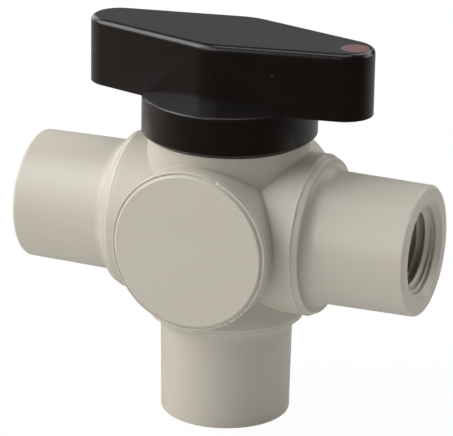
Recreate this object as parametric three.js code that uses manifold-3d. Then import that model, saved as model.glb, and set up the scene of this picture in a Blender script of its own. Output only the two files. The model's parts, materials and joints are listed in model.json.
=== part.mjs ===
// Three way ball valve in moulded polypropylene, with an L-bored ball.
// Millimetres, +Z up. The origin is the centre of the bottom port's face, +X points at the right-hand port
// and -Y at the front closing plug. The sizes inside each function are measured from the valve's centre,
// where the port axes cross, and one outer group lifts the whole valve by bottomFaceDepth.
import * as THREE from 'three';
import { mergeVertices } from 'three/addons/utils/BufferGeometryUtils.js';
import Module from 'manifold-3d';

const wasm = await Module();
wasm.setup();

// ---- driving dimensions ----------------------------------------------------------------------------
const sideFaceDistance = 32.1; // valve centre to the face of the left or right port
const armRadius = 12.45; // outside of the six body arms
const armReach = 14.75; // valve centre to the welded end of a side, front or rear arm
const bottomArmSaving = 1.6; // the bottom arm is this much shorter than the others
const topArmReach = 14.1; // valve centre to the shoulder under the handle's skirt
const chamberRadius = 8.9; // bore through the side, front, rear and bottom arms
const weldGap = 0.2; // axial gap between an arm's end and the piece welded on it

const tubeRadius = 10; // outside of a threaded socket at its mouth
const tubeNeckRadius = 10.2; // the same where the socket's flange begins
const flangeRadius = 11.96; // outer edge of the socket's welding flange
const flangeThickness = 1.15;
const neckFillet = 2.2; // length of the hollow fillet from the flange to the tube
const mouthRadius = 7.3; // countersink at the port's face
const boreRadius = 4; // flow way through sockets and ball
const threadPitch = 1.337; // 19 threads to the inch
const threadMinorRadius = 5.72;
const threadMajorRadius = 6.58;
const threadTurns = 7;
const rowsPerTurn = 4;

const spigotRadius = 8.6; // inner sleeve of a socket or plug, inside the chamber bore
const spigotLipRadius = 7.8;
const spigotLipStart = 8.4;
const seatPocketRadius = 6.9;
const seatPocketFloor = 9.7;

const plugRimThickness = 0.6;
const plugDiscRadius = 11.7;
const plugFaceDistance = 15.98;

const ballRadius = 8.5;
const slotFloor = 6.2; // valve centre to the bottom of the drive slot in the ball
const slotWidth = 3.2;

const seatClearance = 0.1; // running clearance between the ball and its seats
const seatInnerRadius = 4.3;
const seatContactRadius = 5.2;
const seatOuterRadius = 6.6;
const seatBack = 9.4;
const seatRingCordRadius = 0.65; // O-ring behind each seat
const seatRingCentreRadius = 5.5;

const stemRadius = 3.7;
const stemBoreRadius = 4;
const stemCollarRadius = 4.8;
const stemRecessRadius = 5.2;
const stemRecessTop = 11.4;
const stemRingCordRadius = 0.6;
const stemRingHeights = [13.2, 15.8];
const neckRadius = 9.6; // turned neck of the body inside the handle's skirt
const neckTop = 18.3;

const skirtRadius = 13.46; // round skirt below the grip
const skirtBottom = 14.48;
const gripBottom = 20.05;
const gripTop = 30.4;
const gripHalfLength = 23.2;
const gripHalfWidth = 8.85;
const gripEndRadius = 4.5;
const gripSideRadius = 7.2;
const skirtInnerRadius = 11.6;
const skirtCeiling = 18.9;
const stopInnerRadius = 10.1; // inside of the stop rib in the skirt
const stopLugRadius = 11.2; // outside of the stop lug on the neck
const stopLugHalfAngle = 12; // degrees
const stopPlay = 1.5; // degrees left between rib and lug when the handle is at its stop
const dotRadius = 2.23;
const dotDistance = 20;
const dotDepth = 1.9;
const handleRestAngle = -2.3; // degrees from the right-hand stop, as the valve stands

const bottomFaceDepth = sideFaceDistance - bottomArmSaving;
const round = { fine: 32, plug: 24, medium: 20, thread: 20 }; // flats on a full turn

// ---- finishes --------------------------------------------------------------------------------------
const finishes = {
  bodyPlastic: { color: 0xbcb6aa, roughness: 0.48, metalness: 0 },
  handlePlastic: { color: 0x1b1716, roughness: 0.32, metalness: 0 },
  dotPlastic: { color: 0x8a4f50, roughness: 0.5, metalness: 0 },
  ballPlastic: { color: 0xcfcac0, roughness: 0.25, metalness: 0 },
  seatPlastic: { color: 0xf1efe9, roughness: 0.4, metalness: 0 },
  sealRubber: { color: 0x161616, roughness: 0.7, metalness: 0 },
};

/** A named mesh with its own material. */
function piece(name, geometry, finish) {
  const mesh = new THREE.Mesh(geometry, new THREE.MeshStandardMaterial(finish));
  mesh.name = name;
  return mesh;
}

// ---- shape helpers ---------------------------------------------------------------------------------

/** Keeps positions only, joins equal vertices and drops the triangles that collapse on an axis. */
function weld(geometry) {
  const bare = geometry.clone();
  bare.deleteAttribute('normal');
  bare.deleteAttribute('uv');
  const joined = mergeVertices(bare, 1e-5);
  const index = joined.index.array;
  const kept = [];
  for (let i = 0; i < index.length; i += 3) {
    const [a, b, c] = [index[i], index[i + 1], index[i + 2]];
    if (a !== b && b !== c && c !== a) kept.push(a, b, c);
  }
  joined.setIndex(kept);
  return joined;
}

function toManifold(geometry) {
  const joined = weld(geometry);
  return new wasm.Manifold(new wasm.Mesh({
    numProp: 3,
    vertProperties: Float32Array.from(joined.attributes.position.array),
    triVerts: Uint32Array.from(joined.index.array),
  }));
}

function fromManifold(solid) {
  const mesh = solid.getMesh();
  const geometry = new THREE.BufferGeometry();
  geometry.setAttribute('position', new THREE.BufferAttribute(mesh.vertProperties, 3));
  geometry.setIndex(new THREE.BufferAttribute(mesh.triVerts, 1));
  return geometry;
}

/** The first geometry with `added` joined to it and then `removed` cut from it. */
function combine(base, added, removed) {
  let solid = toManifold(base);
  for (const extra of added) solid = solid.add(toManifold(extra));
  for (const cutter of removed) solid = solid.subtract(toManifold(cutter));
  return fromManifold(solid);
}

/** Turns a profile of [radius, height] pairs about +Y: up the outside, then down the inside. */
function turned(profile, segments = round.fine) {
  const points = profile.map(([radius, height]) => new THREE.Vector2(radius, height));
  return weld(new THREE.LatheGeometry(points, segments));
}

/** The same about +Z. */
function turnedUp(profile, segments = round.fine) {
  return turned(profile, segments).rotateX(Math.PI / 2);
}

/** A ring: the profile closes on itself. */
const closed = (profile) => [...profile, profile[0]];

/** A plain rod about +Y with small chamfers. */
function rod(radius, low, high, segments = round.fine, chamfer = 0) {
  return turned([
    [0, low], [radius - chamfer, low],
    ...(chamfer ? [[radius, low + chamfer], [radius, high - chamfer]] : [[radius, high]]),
    ...(chamfer ? [[radius - chamfer, high]] : []), [0, high],
  ], segments);
}

const rodAlongX = (...args) => rod(...args).rotateZ(-Math.PI / 2);
const rodAlongZ = (...args) => rod(...args).rotateX(Math.PI / 2);

/** An upright box from its low and high corners. */
function block(low, high) {
  const size = high.map((value, i) => value - low[i]);
  const centre = high.map((value, i) => (value + low[i]) / 2);
  return new THREE.BoxGeometry(...size).translate(...centre);
}

/** A ring sector about +Z between two angles in degrees. */
function sector(inner, outer, low, high, from, to, steps = 16) {
  const shape = new THREE.Shape();
  const [start, end] = [THREE.MathUtils.degToRad(from), THREE.MathUtils.degToRad(to)];
  shape.absarc(0, 0, outer, start, end, false);
  shape.absarc(0, 0, inner, end, start, true);
  shape.closePath();
  return new THREE.ExtrudeGeometry(shape, { depth: high - low, bevelEnabled: false, curveSegments: steps })
    .translate(0, 0, low);
}

/** A seal of round section about +Y. */
function sealRing(centreRadius, cordRadius, height) {
  const section = 5;
  const profile = Array.from({ length: section }, (_, i) => {
    const angle = (i / section) * 2 * Math.PI;
    return [centreRadius + cordRadius * Math.cos(angle), height + cordRadius * Math.sin(angle)];
  });
  return turned(closed(profile), round.medium);
}

// ---- housing ---------------------------------------------------------------------------------------

/** Six arms, the crossing bores, the stem recess and bore, and the neck with its stop lug. */
function valveBody() {
  const edge = 0.3;
  const bottomReach = armReach - bottomArmSaving;
  const across = rodAlongX(armRadius, -armReach, armReach, round.fine, edge);
  const through = rod(armRadius, -armReach, armReach, round.fine, edge);
  const upright = rodAlongZ(armRadius, -bottomReach, topArmReach, round.fine, edge);
  const neck = rodAlongZ(neckRadius, 0, neckTop, round.fine, edge);
  const lug = sector(neckRadius - 1, stopLugRadius, topArmReach - 0.5, neckTop - 0.5,
    90 - stopLugHalfAngle, 90 + stopLugHalfAngle, 4);
  const past = 1;
  const cuts = [
    rodAlongX(chamberRadius, -armReach - past, armReach + past),
    rod(chamberRadius, -armReach - past, armReach + past),
    rodAlongZ(chamberRadius, -bottomReach - past, 0),
    rodAlongZ(stemRecessRadius, 0, stemRecessTop, round.medium),
    rodAlongZ(stemBoreRadius, 0, neckTop + past, round.medium),
  ];
  return combine(across, [through, upright, neck, lug], cuts);
}

/** Outer sleeve points shared by sockets and plugs, from the seat pocket's floor out to the weld face. */
function spigot(weldFace) {
  return [
    [seatPocketRadius, seatPocketFloor],
    [seatPocketRadius, spigotLipStart],
    [spigotLipRadius, spigotLipStart],
    [spigotRadius, spigotLipStart + 0.8],
    [spigotRadius, weldFace],
  ];
}

/** Groove for the seal behind the seat, in the pocket's floor, from the outside in. */
function sealGroove() {
  const half = seatRingCordRadius + 0.15;
  const depth = 2 * seatRingCordRadius + 0.15;
  return [
    [seatRingCentreRadius - half, seatPocketFloor],
    [seatRingCentreRadius - half, seatPocketFloor + depth],
    [seatRingCentreRadius + half, seatPocketFloor + depth],
    [seatRingCentreRadius + half, seatPocketFloor],
  ];
}

/**
 * Threaded end socket about +Y, seen from the valve's centre outwards. Rows marked as thread swing between
 * the minor and major radius with the height less the share of a turn, which makes a right-hand helix.
 */
function endSocket(reach) {
  const weldFace = reach + weldGap;
  const face = reach + sideFaceDistance - armReach;
  const flangeEnd = weldFace + flangeThickness;
  const mouthDepth = 1.6;
  const threadTop = face - mouthDepth;
  const rows = threadTurns * rowsPerTurn;
  const outside = [
    ...spigot(weldFace),
    [armRadius - 0.1, weldFace],
    [flangeRadius, flangeEnd],
    [flangeRadius - 0.9, flangeEnd + 0.2],
    [tubeNeckRadius + 0.35, flangeEnd + 0.9],
    [tubeNeckRadius, flangeEnd + neckFillet],
    [tubeRadius, face - 0.5],
    [tubeRadius - 0.5, face],
    [mouthRadius, face],
  ];
  const thread = Array.from({ length: rows + 1 }, (_, i) =>
    [threadMinorRadius, threadTop - (i / rowsPerTurn) * threadPitch]);
  const threadEnd = thread[rows][1];
  const inside = [[boreRadius, threadEnd - 1.2], [boreRadius, seatPocketFloor]];
  const profile = closed([...outside, ...thread, ...inside, ...sealGroove()]);

  const points = profile.map(([radius, height]) => new THREE.Vector2(radius, height));
  const lathe = new THREE.LatheGeometry(points, round.thread);
  const position = lathe.attributes.position;
  for (let turn = 0; turn <= round.thread; turn += 1) {
    const share = (turn % round.thread) / round.thread;
    for (let i = 1; i < rows; i += 1) {
      const at = turn * profile.length + outside.length + i;
      const phase = position.getY(at) / threadPitch - share;
      const ramp = Math.abs(2 * (phase - Math.floor(phase)) - 1);
      const fade = Math.min(1, i / rowsPerTurn, (rows - i) / rowsPerTurn);
      const radius = threadMinorRadius + (threadMajorRadius - threadMinorRadius) * ramp * fade;
      const scale = radius / threadMinorRadius;
      position.setX(at, position.getX(at) * scale);
      position.setZ(at, position.getZ(at) * scale);
    }
  }
  return weld(lathe);
}

/** Closing plug about +Y: spigot, welded rim and raised disc, with a blind pocket behind the seat. */
function closingPlug() {
  const weldFace = armReach + weldGap;
  const rimEnd = weldFace + plugRimThickness;
  const pocketEnd = 12.6;
  return turned([
    [0, pocketEnd], [boreRadius, pocketEnd], [boreRadius, seatPocketFloor],
    ...sealGroove(),
    ...spigot(weldFace),
    [armRadius - 0.1, weldFace],
    [armRadius, weldFace + 0.2],
    [armRadius - 0.1, rimEnd],
    [plugDiscRadius, rimEnd],
    [plugDiscRadius - 0.15, plugFaceDistance],
    [0, plugFaceDistance],
  ], round.plug);
}

/** Seat ring about +Y with a hollow spherical face turned to the ball. */
function seatRing() {
  const sphere = ballRadius + seatClearance;
  const heightAt = (radius) => Math.sqrt(sphere * sphere - radius * radius);
  return turned(closed([
    [seatInnerRadius, heightAt(seatInnerRadius)],
    [seatContactRadius, heightAt(seatContactRadius)],
    [seatOuterRadius, heightAt(seatContactRadius)],
    [seatOuterRadius, seatBack],
    [seatInnerRadius, seatBack],
  ]), round.medium);
}

// ---- ball and spindle ------------------------------------------------------------------------------

/** Ball with an L-shaped way from below to the dot's side, and the drive slot across its top. */
function ball() {
  const past = 2;
  const sphere = new THREE.SphereGeometry(ballRadius, 28, 18).rotateX(Math.PI / 2);
  return combine(sphere, [], [
    rodAlongX(boreRadius, 0, ballRadius + past, round.medium),
    rodAlongZ(boreRadius, -ballRadius - past, 0.01, round.medium),
    block([-ballRadius - past, -slotWidth / 2, slotFloor], [ballRadius + past, slotWidth / 2, ballRadius + past]),
  ]);
}

/** Stem about +Z: drive tang, retaining collar, shaft with two seal grooves, and the flatted head. */
function stem() {
  const tang = { halfLength: 4.1, halfWidth: 1.3, low: slotFloor + 0.3 };
  const collar = { low: 8.8, high: 10.4 };
  const groove = { radius: stemRingCordRadius * 2 + 1.3, half: 0.75 };
  const head = { low: 17.9, high: 25.6, halfFlat: 2.5 };
  const grooves = stemRingHeights.flatMap((height) => [
    [stemRadius, height - groove.half], [groove.radius, height - groove.half],
    [groove.radius, height + groove.half], [stemRadius, height + groove.half],
  ]);
  const shaft = turnedUp([
    [0, collar.low], [stemCollarRadius, collar.low], [stemCollarRadius, collar.high],
    [stemRadius, collar.high], ...grooves,
    [stemRadius, head.high - 0.5], [stemRadius - 0.5, head.high], [0, head.high],
  ], round.medium);
  const blade = block([-tang.halfLength, -tang.halfWidth, tang.low],
    [tang.halfLength, tang.halfWidth, collar.low + 0.4]);
  const flats = [1, -1].map((side) => block([-6, side > 0 ? head.halfFlat : -6, head.low],
    [6, side > 0 ? 6 : -head.halfFlat, head.high + 1]));
  return combine(shaft, [blade], flats);
}

function thrustWasher() {
  return turnedUp(closed([[3.95, 10.6], [4.9, 10.6], [4.9, 11.2], [3.95, 11.2]]), round.medium);
}

/** Angle of the normal of the grip's straight side, from the two corner circles that it touches. */
function gripSideNormal() {
  const alongX = gripHalfLength - gripEndRadius;
  const alongY = gripHalfWidth - gripSideRadius;
  const direction = Math.atan2(alongY, -alongX);
  return direction - Math.acos((gripEndRadius - gripSideRadius) / Math.hypot(alongX, alongY));
}

/** Lozenge outline with round corners. */
function gripOutline() {
  const angle = gripSideNormal();
  const endX = gripHalfLength - gripEndRadius;
  const sideY = gripHalfWidth - gripSideRadius;
  const shape = new THREE.Shape();
  shape.absarc(endX, 0, gripEndRadius, -angle, angle, false);
  shape.absarc(0, sideY, gripSideRadius, angle, Math.PI - angle, false);
  shape.absarc(-endX, 0, gripEndRadius, Math.PI - angle, Math.PI + angle, false);
  shape.absarc(0, -sideY, gripSideRadius, Math.PI + angle, 2 * Math.PI - angle, false);
  shape.closePath();
  return shape;
}

/** One core under a wing of the grip: it follows the side wall and leaves a rib along the middle. */
function wingCore(sideX, sideY) {
  const core = { near: 15, far: 20.2, rib: 0.7, wall: 1.7, top: 27.4 };
  const angle = gripSideNormal();
  const offset = (gripHalfLength - gripEndRadius) * Math.cos(angle) + gripEndRadius - core.wall;
  const wallAt = (x) => (offset - x * Math.cos(angle)) / Math.sin(angle);
  const corners = [[core.near, core.rib], [core.far, core.rib], [core.far, wallAt(core.far)],
    [core.near, wallAt(core.near)]];
  const ordered = sideX * sideY > 0 ? corners : corners.reverse();
  const shape = new THREE.Shape(ordered.map(([x, y]) => new THREE.Vector2(sideX * x, sideY * y)));
  const depth = core.top - gripBottom + 1;
  return new THREE.ExtrudeGeometry(shape, { depth, bevelEnabled: false }).translate(0, 0, gripBottom - 1);
}

/** Grip and round skirt in one moulding: hollow below, flatted socket for the stem, stop rib in the skirt. */
function handle() {
  const stopHalfAngle = 180 - 90 - stopLugHalfAngle - stopPlay;
  const socket = { radius: stemRadius + 0.3, halfFlat: 2.8, top: 26 };
  const grip = new THREE.ExtrudeGeometry(gripOutline(), {
    depth: gripTop - gripBottom, bevelEnabled: false, curveSegments: 7,
  }).translate(0, 0, gripBottom);
  const skirt = turnedUp([
    [0, skirtBottom], [skirtRadius - 0.4, skirtBottom], [skirtRadius, skirtBottom + 0.4],
    [skirtRadius, gripBottom - 0.3], [skirtRadius - 0.3, gripBottom], [0, gripBottom],
  ]);
  const socketCut = combine(rodAlongZ(socket.radius, skirtCeiling - 1, socket.top, round.medium), [], [
    block([-6, socket.halfFlat, skirtCeiling - 2], [6, 6, socket.top + 1]),
    block([-6, -6, skirtCeiling - 2], [6, -socket.halfFlat, socket.top + 1]),
  ]);
  const cuts = [
    rodAlongZ(stopInnerRadius, skirtBottom - 1, skirtCeiling),
    sector(stopInnerRadius - 1, skirtInnerRadius, skirtBottom - 1, skirtCeiling,
      stopHalfAngle, 360 - stopHalfAngle, 24),
    rodAlongZ(dotRadius + 0.15, gripTop - dotDepth - 0.2, gripTop + 1, round.medium)
      .translate(dotDistance, 0, 0),
    ...[[1, 1], [1, -1], [-1, 1], [-1, -1]].map(([x, y]) => wingCore(x, y)),
    socketCut,
  ];
  return combine(grip, [skirt], cuts);
}

function indicatorDot() {
  return rodAlongZ(dotRadius, gripTop - dotDepth, gripTop, round.medium).translate(dotDistance, 0, 0);
}

// ---- assembly --------------------------------------------------------------------------------------
const quarter = Math.PI / 2;
const stations = {
  right: [0, 0, -quarter],
  left: [0, 0, quarter],
  bottom: [-quarter, 0, 0],
  front: [2 * quarter, 0, 0],
  rear: [0, 0, 0],
};

/** Places a piece made about +Y so that it points out through the named arm. */
function atStation(mesh, station) {
  mesh.rotation.set(...stations[station]);
  return mesh;
}

const housing = new THREE.Group();
housing.add(piece('valve_body', valveBody(), finishes.bodyPlastic));
for (const side of ['right', 'left', 'bottom']) {
  const reach = side === 'bottom' ? armReach - bottomArmSaving : armReach;
  housing.add(atStation(piece(`end_socket_${side}`, endSocket(reach), finishes.bodyPlastic), side));
}
for (const side of ['front', 'rear']) {
  housing.add(atStation(piece(`closing_plug_${side}`, closingPlug(), finishes.bodyPlastic), side));
}
for (const side of Object.keys(stations)) {
  housing.add(atStation(piece(`seat_ring_${side}`, seatRing(), finishes.seatPlastic), side));
  const seal = sealRing(seatRingCentreRadius, seatRingCordRadius, seatPocketFloor + seatRingCordRadius + 0.08);
  housing.add(atStation(piece(`seat_seal_${side}`, seal, finishes.sealRubber), side));
}
housing.add(piece('thrust_washer', thrustWasher(), finishes.seatPlastic));

const spindle = new THREE.Group();
spindle.add(piece('stem', stem(), finishes.ballPlastic));
for (const [i, name] of ['lower', 'upper'].entries()) {
  const seal = sealRing(stemRadius - 0.45, stemRingCordRadius, stemRingHeights[i]).rotateX(quarter);
  spindle.add(piece(`stem_seal_${name}`, seal, finishes.sealRubber));
}
spindle.add(piece('handle', handle(), finishes.handlePlastic));
spindle.add(piece('indicator_dot', indicatorDot(), finishes.dotPlastic));
spindle.add(piece('ball', ball(), finishes.ballPlastic));
spindle.rotation.z = THREE.MathUtils.degToRad(handleRestAngle);

const valve = new THREE.Group();
valve.add(housing, spindle);
valve.position.z = bottomFaceDepth;

export default valve;
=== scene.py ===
"""Studio scene of a small three way ball valve, moulded in plastic and welded together.

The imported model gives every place: the reach of the arms, the faces of the ports, the height of the grip.
This script makes each piece again as a fine surface in the same place, gives it its finish, and stands it on
a pale floor. Shapes are worked out in millimetres about the valve's centre, where the port axes cross.
"""

import json
import logging
import math
from dataclasses import dataclass, field, replace
from enum import Enum

import bmesh
import bpy
import numpy as np
from mathutils import Matrix, Vector


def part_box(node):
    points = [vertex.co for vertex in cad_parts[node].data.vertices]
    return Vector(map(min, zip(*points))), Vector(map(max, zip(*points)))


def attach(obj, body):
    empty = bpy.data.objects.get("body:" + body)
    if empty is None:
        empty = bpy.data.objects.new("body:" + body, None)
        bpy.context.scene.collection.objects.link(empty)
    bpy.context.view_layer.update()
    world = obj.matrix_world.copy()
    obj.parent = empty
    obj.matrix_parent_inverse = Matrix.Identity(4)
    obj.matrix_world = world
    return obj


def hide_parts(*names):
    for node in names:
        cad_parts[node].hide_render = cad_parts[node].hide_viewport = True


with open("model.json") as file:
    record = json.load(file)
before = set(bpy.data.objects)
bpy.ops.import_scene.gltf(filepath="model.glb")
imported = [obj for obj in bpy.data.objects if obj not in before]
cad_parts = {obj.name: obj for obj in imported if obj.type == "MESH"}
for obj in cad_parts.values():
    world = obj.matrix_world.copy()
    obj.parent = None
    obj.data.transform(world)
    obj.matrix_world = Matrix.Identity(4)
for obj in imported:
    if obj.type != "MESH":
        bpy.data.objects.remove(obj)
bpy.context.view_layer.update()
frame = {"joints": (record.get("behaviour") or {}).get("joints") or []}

MM = 0.001
COLUMNS = 192
TURN = 2 * math.pi
SAME_POINT = 2e-6  # metres: points closer than this are one
NO_LENGTH = 1e-7  # metres: a shorter edge is dissolved
HOLD_SHARE = 0.3  # how far past an arc its holding point lies, as a share of the fillet
SOCKET_SEAM_SEED, PLUG_LIP_SEED, PLUG_SEAM_SEED = 20, 40, 50
MIX_INPUTS, MIX_OUTPUT = (0, 6, 7), 2  # colour sockets of a Mix node: share, first, second; and result
LOG = logging.getLogger("valve")


# ---- places --------------------------------------------------------------------------------------------


@dataclass(frozen=True)
class Layout:
    """The valve's main distances in mm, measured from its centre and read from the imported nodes."""

    centre: Vector
    rest_angle: float
    side_reach: float
    bottom_reach: float
    neck_top: float
    side_face: float
    bottom_face: float
    plug_face: float
    skirt_radius: float
    skirt_bottom: float
    grip_top: float
    ball_radius: float

    @classmethod
    def from_cad(cls) -> "Layout":
        """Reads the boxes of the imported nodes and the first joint, which stands on the valve's centre.

        Returns:
            The layout.
        """
        turning = frame["joints"][0]
        centre = Vector(turning["pos_m"])
        body_low, body_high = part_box("valve_body")
        handle_low, handle_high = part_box("handle")
        return cls(
            centre=centre,
            rest_angle=-math.radians(turning["range_deg"][1]),
            side_reach=body_high.x / MM,
            bottom_reach=(centre.z - body_low.z) / MM,
            neck_top=(body_high.z - centre.z) / MM,
            side_face=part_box("end_socket_right")[1].x / MM,
            bottom_face=(centre.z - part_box("end_socket_bottom")[0].z) / MM,
            plug_face=-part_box("closing_plug_front")[0].y / MM,
            skirt_radius=handle_high.y / MM,
            skirt_bottom=(handle_low.z - centre.z) / MM,
            grip_top=(handle_high.z - centre.z) / MM,
            ball_radius=-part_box("ball")[0].y / MM,
        )

    def reach(self, way: "Way") -> float:
        """How far the arm runs out to its welded end."""
        return self.bottom_reach if way is Way.BOTTOM else self.side_reach

    def face(self, way: "Way") -> float:
        """How far out the port's face stands."""
        return self.bottom_face if way is Way.BOTTOM else self.side_face


class Way(Enum):
    """The six arms. Each value says where a piece's own X, Y and Z axes point when it lies along the arm."""

    RIGHT = ((0, 1, 0), (0, 0, 1), (1, 0, 0))
    LEFT = ((0, -1, 0), (0, 0, 1), (-1, 0, 0))
    FRONT = ((1, 0, 0), (0, 0, 1), (0, -1, 0))
    REAR = ((-1, 0, 0), (0, 0, 1), (0, 1, 0))
    BOTTOM = ((1, 0, 0), (0, -1, 0), (0, 0, -1))
    TOP = ((1, 0, 0), (0, 1, 0), (0, 0, 1))

    def lay(self, points: np.ndarray) -> np.ndarray:
        """Turns points made about +Z so that they lie along this arm."""
        return points @ np.array(self.value, float)

    @property
    def label(self) -> str:
        """The arm's name as the nodes spell it."""
        return self.name.lower()


# ---- shapes as grids -----------------------------------------------------------------------------------


@dataclass(frozen=True)
class Corner:
    """A corner of a profile: its radius and height, and the fillet that rounds it, in mm."""

    radius: float
    height: float
    fillet: float = 0.0


def rounded(corners: list[Corner], ring: bool = False, steps: int = 5) -> np.ndarray:
    """Joins corners by straight lines and rounds each one with a tangent arc.

    The arc's centre lies on the corner's bisector, at the fillet over the sine of the half angle, and its
    two end spokes are blended by sines of their share of the swing. One more point is held just past each
    end of an arc, so that the shading stays flat on the straights.

    Args:
        corners: the corners in order.
        ring: whether the last corner joins the first.
        steps: spans in each arc.

    Returns:
        Rows of (radius, height).
    """
    points = np.array([[corner.radius, corner.height] for corner in corners], float)
    before, after = np.roll(points, 1, axis=0), np.roll(points, -1, axis=0)
    parts = []
    for i, corner in enumerate(corners):
        here = points[i]
        if corner.fillet <= 0 or (not ring and i in (0, len(corners) - 1)):
            parts.append(here[None])
            continue
        back, ahead = before[i] - here, after[i] - here
        back_span, ahead_span = np.linalg.norm(back), np.linalg.norm(ahead)
        back, ahead = back / back_span, ahead / ahead_span
        half = math.acos(float(np.clip(back @ ahead, -1, 1))) / 2
        trim = corner.fillet / math.tan(half)
        bisector = (back + ahead) / np.linalg.norm(back + ahead)
        centre = here + bisector * corner.fillet / math.sin(half)
        start, end = here + back * trim, here + ahead * trim
        swing = math.pi - 2 * half
        share = np.linspace(0, 1, steps + 1)[:, None]
        spokes = np.sin((1 - share) * swing) * (start - centre) + np.sin(share * swing) * (end - centre)
        hold = max(0.0, min(HOLD_SHARE * corner.fillet, HOLD_SHARE * (back_span - trim),
                            HOLD_SHARE * (ahead_span - trim)))
        parts.append(np.vstack([start + back * hold, centre + spokes / math.sin(swing), end + ahead * hold]))
    return np.vstack(parts)


def angles(columns: int = COLUMNS) -> np.ndarray:
    """Even angles round one turn, in radians."""
    return np.arange(columns) * TURN / columns


def revolve(radius: np.ndarray, height: np.ndarray, at: np.ndarray) -> np.ndarray:
    """Surface about +Z: point (i, j) stands at angle at[j], radius[i, j] out and height[i, j] up.

    Args:
        radius: one radius per row, or per row and column.
        height: the same for the height.
        at: the angle of each column.

    Returns:
        Grid of points, rows by columns by 3.
    """
    radius, height, at = np.broadcast_arrays(radius, height, at[None, :])
    return np.stack([radius * np.cos(at), radius * np.sin(at), height], axis=-1)


def turned(profile: np.ndarray, columns: int = COLUMNS) -> np.ndarray:
    """Carries a profile of (radius, height) rows once round +Z."""
    return revolve(profile[:, :1], profile[:, 1:], angles(columns))


def cord_section(radius: float, height: float, cord: float, steps: int = 20) -> np.ndarray:
    """Round section of a ring's cord, as (radius, height) rows running up its outside."""
    at = angles(steps)
    return np.column_stack([radius + cord * np.cos(at), height + cord * np.sin(at)])


def ripple(at: np.ndarray, seed: int, waves: range) -> np.ndarray:
    """Uneven wave round a ring: cosines with whole numbers of waves, seeded strengths and phases.

    Args:
        at: angles in radians.
        seed: picks the strengths and the phases.
        waves: the numbers of waves round one turn.

    Returns:
        One value per angle, with a spread of about 1.
    """
    draw = np.random.default_rng(seed)
    count = np.array(waves, float)[:, None]
    strength = draw.normal(size=count.shape) * math.sqrt(2 / len(count))
    phase = draw.uniform(0, TURN, size=count.shape)
    return (strength * np.cos(count * at + phase)).sum(axis=0)


def window(at: np.ndarray, centre: float, width: float) -> np.ndarray:
    """Bell that is 1 at the centre angle and fades over the width, counted the short way round."""
    away = np.angle(np.exp(1j * (at - centre)))
    return np.exp(-((away / width) ** 2))


def smooth_step(value: np.ndarray, low: float, high: float) -> np.ndarray:
    """Goes from 0 at low to 1 at high along 3t^2 - 2t^3."""
    share = np.clip((value - low) / (high - low), 0, 1)
    return share * share * (3 - 2 * share)


def prism(outline: np.ndarray, low: float, high: float, middle: np.ndarray | None = None) -> np.ndarray:
    """Closed upright prism over an outline that its own middle can see.

    Args:
        outline: rows of (x, y), counter-clockwise.
        low: height of the foot.
        high: height of the head.
        middle: the point where both caps' triangles meet; the outline's mean if left out.

    Returns:
        Four rows of points: middle, foot, head, middle.
    """
    centre = np.broadcast_to(outline.mean(axis=0) if middle is None else middle, outline.shape)
    rows = [(centre, low), (outline, low), (outline, high), (centre, high)]
    return np.stack([np.column_stack([ring, np.full(len(ring), level)]) for ring, level in rows])


def circle(radius: float, columns: int = 96, x: float = 0.0) -> np.ndarray:
    """Round outline about (x, 0)."""
    at = angles(columns)
    return np.column_stack([x + radius * np.cos(at), radius * np.sin(at)])


def rectangle(half_x: float, half_y: float) -> np.ndarray:
    """Rectangular outline about the axis."""
    return np.array([[half_x, -half_y], [half_x, half_y], [-half_x, half_y], [-half_x, -half_y]])


def grid_quads(points: np.ndarray, ring: bool) -> np.ndarray:
    """Quads between neighbouring rows and columns; columns wrap round, and a ring's rows do too.

    A profile that climbs on its outside gives faces that point outwards.

    Args:
        points: grid of points, rows by columns by 3.
        ring: whether the last row joins the first.

    Returns:
        Rows of four point numbers.
    """
    rows, columns = points.shape[:2]
    row = np.arange(rows if ring else rows - 1)[:, None]
    column = np.arange(columns)[None, :]
    next_row, next_column = (row + 1) % rows, (column + 1) % columns
    corners = [row * columns + column, row * columns + next_column,
               next_row * columns + next_column, next_row * columns + column]
    return np.stack(corners, axis=-1).reshape(-1, 4)


def build(name: str, layout: Layout, *grids: np.ndarray, ring: bool = False) -> bpy.types.Object:
    """Makes one object from grids, in metres and in place, and joins equal points so poles and seams close.

    Args:
        name: the object's name.
        layout: gives the valve's centre.
        grids: the surfaces in mm about that centre.
        ring: whether each grid's rows close on themselves.

    Returns:
        The object, which sits at the origin.
    """
    points = np.vstack([grid.reshape(-1, 3) for grid in grids]) * MM + np.array(layout.centre)
    starts = np.cumsum([0] + [grid.shape[0] * grid.shape[1] for grid in grids[:-1]])
    quads = np.vstack([grid_quads(grid, ring) + start for grid, start in zip(grids, starts)])
    mesh = bpy.data.meshes.new(name)
    mesh.from_pydata(points.tolist(), [], quads.tolist())
    shape = bmesh.new()
    shape.from_mesh(mesh)
    bmesh.ops.remove_doubles(shape, verts=shape.verts, dist=SAME_POINT)
    bmesh.ops.dissolve_degenerate(shape, edges=shape.edges, dist=NO_LENGTH)
    shape.to_mesh(mesh)
    shape.free()
    obj = bpy.data.objects.new(name, mesh)
    bpy.context.scene.collection.objects.link(obj)
    return obj


def carve(base: bpy.types.Object, joined: list[bpy.types.Object], cut: list[bpy.types.Object]) -> None:
    """Joins some solids to a base and then cuts others from it, and removes them.

    Args:
        base: the object that is kept, with a new mesh.
        joined: solids joined to it.
        cut: solids cut from it.
    """
    for operation, tools in (("UNION", joined), ("DIFFERENCE", cut)):
        for tool in tools:
            step = base.modifiers.new(operation, "BOOLEAN")
            step.operation, step.solver, step.object = operation, "EXACT", tool
    evaluated = base.evaluated_get(bpy.context.evaluated_depsgraph_get())
    mesh = bpy.data.meshes.new_from_object(evaluated)
    mesh.name = base.name
    base.modifiers.clear()
    base.data = mesh
    for tool in joined + cut:
        bpy.data.objects.remove(tool)


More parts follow.
